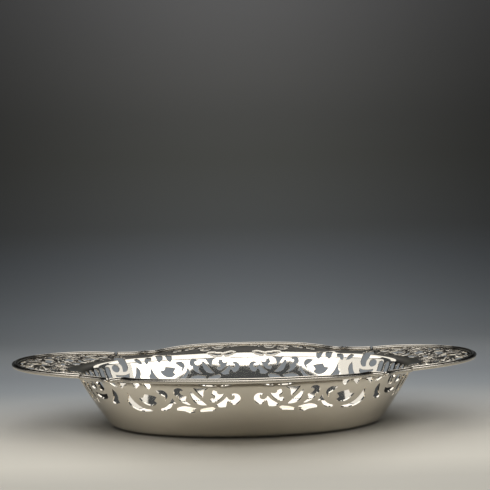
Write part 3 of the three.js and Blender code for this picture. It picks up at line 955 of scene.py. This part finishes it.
def wire_paths():
    """Path of each length of wire, anticlockwise from above, under the name of its node."""
    lobe, shoulder, handle = (piece[::-1] for piece in outline_pieces())

    def over_x(path):
        return (path * [-1, 1])[::-1]

    def over_y(path):
        return (path * [1, -1])[::-1]

    back = np.vstack([lobe, over_x(lobe)[1:]])
    right = np.vstack([over_y(handle), handle[1:]])
    return {
        "side_wire_back": back,
        "side_wire_front": over_y(back),
        "end_wire_right": right,
        "end_wire_left": over_x(right),
        "shoulder_wire_back_right": shoulder,
        "shoulder_wire_back_left": over_x(shoulder),
        "shoulder_wire_front_right": over_y(shoulder),
        "shoulder_wire_front_left": over_x(over_y(shoulder)),
    }


# Materials

SILVER_TONES = ((0.89, 0.84, 0.75), (0.86, 0.81, 0.72))
# The dark tone that the attribute mixes in: patina in the chased lines and the wire's hollow, and painted
# shade under the border and on the wire's lower flanks.
TARNISH_AND_SHADE_TONE = (0.13, 0.11, 0.09, 1)
SHEET_ROUGHNESS = (0.035, 0.06)
WIRE_ROUGHNESS = (0.1, 0.16)


def new_material(name):
    material = bpy.data.materials.new(name)
    material.use_nodes = True
    nodes = material.node_tree.nodes
    return material, nodes, material.node_tree.links, nodes["Principled BSDF"]


def ramp(nodes, links, value, stops):
    """Stops are (place, colour) pairs."""
    node = nodes.new("ShaderNodeValToRGB")
    elements = node.color_ramp.elements
    while len(elements) < len(stops):
        elements.new(0.5)
    for element, (place, colour) in zip(elements, stops):
        element.position = place
        element.color = (*colour, 1)
    links.new(value, node.inputs["Fac"])
    return node.outputs["Color"]


def silver_material(name, roughness):
    """Polished silver with a faint cloud in its tone and roughness, dark where the tarnish and painted shade
    attribute says.
    """
    material, nodes, links, shader = new_material(name)
    shader.inputs["Metallic"].default_value = 1.0
    cloud = nodes.new("ShaderNodeTexNoise")
    cloud.inputs["Scale"].default_value = 60
    cloud.inputs["Detail"].default_value = 3.0
    links.new(nodes.new("ShaderNodeTexCoord").outputs["Object"], cloud.inputs["Vector"])
    amount = cloud.outputs["Fac"]
    smooth, dull = ((value,) * 3 for value in roughness)
    links.new(ramp(nodes, links, amount, [(0.3, smooth), (0.7, dull)]), shader.inputs["Roughness"])

    tarnish = nodes.new("ShaderNodeAttribute")
    tarnish.attribute_name = "tarnish"
    metal = ramp(nodes, links, amount, [(0.3, SILVER_TONES[0]), (0.75, SILVER_TONES[1])])
    mix = nodes.new("ShaderNodeMix")
    mix.data_type = "RGBA"
    links.new(tarnish.outputs["Fac"], mix.inputs["Factor"])
    links.new(metal, mix.inputs["A"])
    mix.inputs["B"].default_value = TARNISH_AND_SHADE_TONE
    links.new(mix.outputs["Result"], shader.inputs["Base Color"])
    return material


def paper_material():
    """Paper with a colour for each distance along the sweep, which holds painted light and shade, and painted
    shade that darkens it away from the middle.
    """
    material, nodes, links, shader = new_material("paper_with_painted_light")

    def math_node(operation, *values):
        node = nodes.new("ShaderNodeMath")
        node.operation = operation
        for socket, value in zip(node.inputs, values):
            if isinstance(value, float):
                socket.default_value = value
            else:
                links.new(value, socket)
        return node.outputs[0]

    along = nodes.new("ShaderNodeAttribute")
    along.attribute_name = "along"
    split = nodes.new("ShaderNodeSeparateXYZ")
    links.new(nodes.new("ShaderNodeTexCoord").outputs["Object"], split.inputs[0])
    # Painted shade: the colour is divided by one plus the rate times the square of the distance to the side.
    square = math_node("MULTIPLY", split.outputs["X"], split.outputs["X"])
    painted_side_shade = math_node("MULTIPLY_ADD", square, PAINTED_SIDE_SHADE_RATE, 1.0)
    scale = nodes.new("ShaderNodeVectorMath")
    scale.operation = "SCALE"
    links.new(ramp(nodes, links, along.outputs["Fac"], PAPER_TONES_WITH_PAINTED_LIGHT), scale.inputs[0])
    links.new(math_node("DIVIDE", 1.0, painted_side_shade), scale.inputs["Scale"])
    links.new(scale.outputs["Vector"], shader.inputs["Base Color"])
    shader.inputs["Roughness"].default_value = 0.9
    shader.inputs["Specular IOR Level"].default_value = 0.1
    return material


# Stage, in metres: one sheet of paper that lies flat, then bends up and stands behind the basket

SWEEP_FRONT = -1.6
SWEEP_BEND_AT = 0.55
SWEEP_ROUND = 0.5
SWEEP_TOP = 1.5
SWEEP_HALF = 1.6
WORLD_TONE = (0.062, 0.067, 0.073, 1)

# Level softboxes: a disc overhead, a strip behind it, and panels in an arc in front and at the sides
LAMP_HEIGHT = 1.05
LAMP_COLOUR = (1.0, 0.985, 0.95)
DISC_ACROSS = 1.32
DISC_PLACE = (0, 0.05, LAMP_HEIGHT)
DISC_RADIANCE = 1.5
BACK_SIZE = (2.2, 0.3)
BACK_PLACE = (0, 0.87, LAMP_HEIGHT)
BACK_RADIANCE = 1.1
PANEL_NEAR = 0.75
PANEL_FAR = 1.34
PANEL_WIDTH = 0.98
PANELS = ((-84, 0.85), (-42, 2.5), (0, 2.7), (42, 2.5), (84, 0.85))  # degrees from the front, radiance

# Share of the way along the paper, and its colour there: the paper's grey with painted light and shade. It is
# lifted as painted light on the floor just in front of the basket, under its border, and darker as painted
# shade behind the basket and up the sweep.
PAPER_TONES_WITH_PAINTED_LIGHT = [
    (0.0, (0.53, 0.508, 0.46)),
    (0.374, (0.54, 0.52, 0.472)),
    (0.383, (0.69, 0.662, 0.595)),
    (0.394, (0.69, 0.66, 0.598)),
    (0.408, (0.5, 0.487, 0.457)),
    (0.423, (0.42, 0.426, 0.424)),
    (0.44, (0.315, 0.337, 0.358)),
    (0.46, (0.275, 0.295, 0.318)),
    (0.51, (0.275, 0.292, 0.308)),
    (0.59, (0.202, 0.222, 0.242)),
    (0.645, (0.126, 0.137, 0.15)),
    (0.67, (0.097, 0.102, 0.104)),
    (0.72, (0.104, 0.106, 0.1)),
    (0.77, (0.142, 0.142, 0.14)),
    (0.82, (0.166, 0.166, 0.17)),
    (1.0, (0.17, 0.17, 0.17)),
]
PAINTED_SIDE_SHADE_RATE = 2.1  # how fast painted shade darkens the paper to the sides


def sweep_profile():
    flat = [(y, 0.0) for y in np.linspace(SWEEP_FRONT, SWEEP_BEND_AT, 44)]
    angles = np.linspace(0, math.pi / 2, 41)[1:]
    bend = [(SWEEP_BEND_AT + SWEEP_ROUND * math.sin(a), SWEEP_ROUND * (1 - math.cos(a))) for a in angles]
    wall = [(SWEEP_BEND_AT + SWEEP_ROUND, z) for z in np.linspace(SWEEP_ROUND, SWEEP_TOP, 21)[1:]]
    return as_array(flat + bend + wall)


def make_floor():
    profile = sweep_profile()
    share = distances(profile)
    share /= share[-1]
    points = [(x, y, z) for y, z in profile for x in (-SWEEP_HALF, SWEEP_HALF)]
    faces = [(2 * k, 2 * k + 1, 2 * k + 3, 2 * k + 2) for k in range(len(profile) - 1)]
    mesh = bpy.data.meshes.new("floor")
    mesh.from_pydata(points, [], faces)
    mesh.attributes.new("along", "FLOAT", "POINT").data.foreach_set("value", np.repeat(share, 2))
    mesh.polygons.foreach_set("use_smooth", np.ones(len(faces), bool))
    floor = bpy.data.objects.new("floor", mesh)
    bpy.context.scene.collection.objects.link(floor)
    mesh.materials.append(paper_material())


def make_world():
    world = bpy.data.worlds.new("studio")
    bpy.context.scene.world = world
    world.use_nodes = True
    world.node_tree.nodes["Background"].inputs["Color"].default_value = WORLD_TONE


def level_lamp(name, shape, size, place, radiance, turn=0):
    """A soft lamp that faces straight down. Its size is across and along, its turn in degrees."""
    data = bpy.data.lights.new(name, "AREA")
    data.shape = shape
    data.size, data.size_y = size
    area = size[0] * size[1] * (math.pi / 4 if shape == "ELLIPSE" else 1)
    data.energy = radiance * math.pi * area
    data.color = LAMP_COLOUR
    lamp = bpy.data.objects.new(name, data)
    bpy.context.scene.collection.objects.link(lamp)
    lamp.location = place
    lamp.rotation_euler = (0, 0, math.radians(turn))


def make_lamps():
    level_lamp("overhead_softbox", "ELLIPSE", (DISC_ACROSS, DISC_ACROSS), DISC_PLACE, DISC_RADIANCE)
    level_lamp("back_softbox", "RECTANGLE", BACK_SIZE, BACK_PLACE, BACK_RADIANCE)
    reach = (PANEL_NEAR + PANEL_FAR) / 2
    size = (PANEL_WIDTH, PANEL_FAR - PANEL_NEAR)
    for number, (azimuth, radiance) in enumerate(PANELS):
        a = math.radians(azimuth)
        place = (reach * math.sin(a), -reach * math.cos(a), LAMP_HEIGHT)
        level_lamp(f"softbox_{number}", "RECTANGLE", size, place, radiance, azimuth)


# The photograph's camera

FRAME_PIXELS = 490
FOCAL_PIXELS = 608
SENSOR = 36.0
CAMERA_PLACE = (-5.24, -435.8, 101.55)  # in millimetres
CAMERA_PITCH = 3.07  # degrees upwards
CAMERA_YAW = 0.894  # degrees to the right
CAMERA_ROLL = -1.173  # degrees


def make_camera():
    pitch, yaw, roll = (math.radians(v) for v in (CAMERA_PITCH, CAMERA_YAW, CAMERA_ROLL))
    view = np.array([math.sin(yaw) * math.cos(pitch), math.cos(yaw) * math.cos(pitch), math.sin(pitch)])
    level = np.array([math.cos(yaw), -math.sin(yaw), 0.0])
    upright = np.cross(level, view)
    right = level * math.cos(roll) + upright * math.sin(roll)
    up = upright * math.cos(roll) - level * math.sin(roll)
    data = bpy.data.cameras.new("camera")
    data.sensor_width = SENSOR
    data.sensor_fit = "HORIZONTAL"
    data.lens = SENSOR * FOCAL_PIXELS / FRAME_PIXELS
    camera = bpy.data.objects.new("camera", data)
    bpy.context.scene.collection.objects.link(camera)
    matrix = Matrix.Identity(4)
    for row in range(3):
        matrix[row] = (right[row], up[row], -view[row], CAMERA_PLACE[row] * MM)
    camera.matrix_world = matrix
    bpy.context.scene.camera = camera


def settle(piece, material, node):
    """Gives the piece its material and puts it in the place of its CAD node."""
    piece.data.materials.append(material)
    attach(piece, "root")
    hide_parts(node)


def make_basket():
    sheet_silver = silver_material("chased_silver", SHEET_ROUGHNESS)
    points, faces, corners, tarnish = mirrored_quarters(*quarter_solid())
    settle(make_mesh("pierced_sheet", points, faces, tarnish, corners), sheet_silver, "pierced_body")
    wire_silver = silver_material("wire_silver", WIRE_ROUGHNESS)
    for node, path in wire_paths().items():
        settle(make_mesh(f"reeded_{node}", *wire_mesh(path)), wire_silver, node)


make_camera()
make_floor()
make_world()
make_lamps()
make_basket()

bpy.context.scene.view_settings.view_transform = "Standard"
